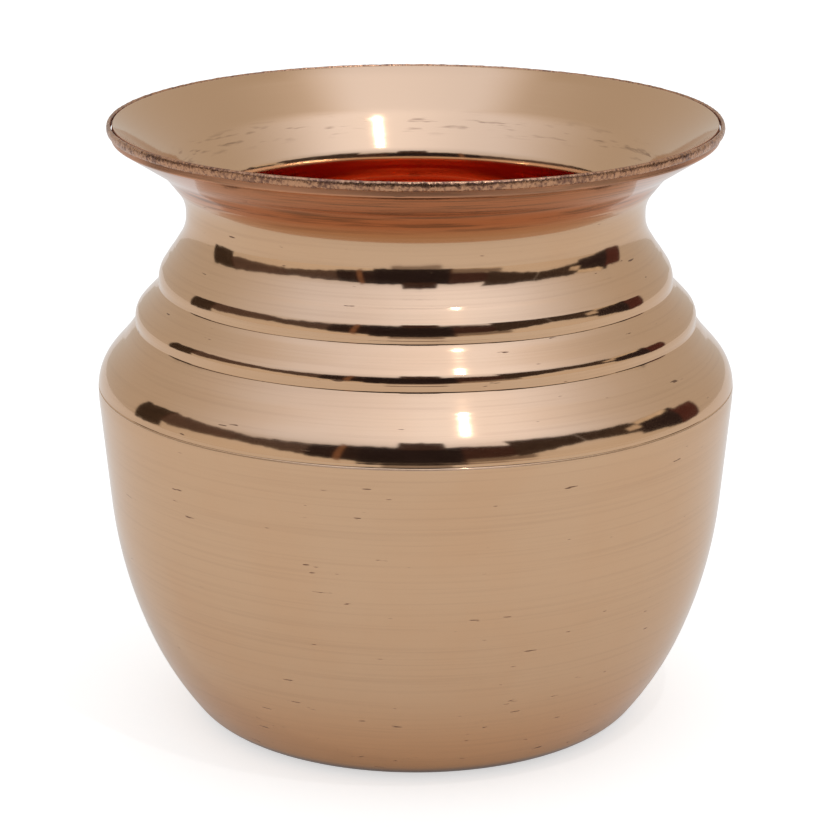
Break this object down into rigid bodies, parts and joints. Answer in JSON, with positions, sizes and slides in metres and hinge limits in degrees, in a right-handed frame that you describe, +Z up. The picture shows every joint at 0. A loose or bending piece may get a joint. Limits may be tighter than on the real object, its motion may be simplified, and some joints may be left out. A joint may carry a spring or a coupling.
{
  "type": "lota",
  "caption": "Small round copper water vessel with a flat base, tapering belly, stepped shoulder, drawn-in throat and flared mouth with a ringed rim.",
  "frame": {"origin": "centre of the flat resting face under the base", "axes": "+Z up along the vessel's axis, from the base to the mouth; the vessel is round, so +X and +Y are any two square directions"},
  "size_m": [0.1052, 0.1052, 0.1005],
  "materials": {
    "polished_copper": "copper, buffed to a soft satin mirror with fine turned lines",
    "hammered_copper": "copper, hammered and left grainy, slightly tarnished"
  },
  "bodies": {
    "root": {"vessel": "polished_copper", "rim_ring": "hammered_copper"}
  },
  "joints": []
}
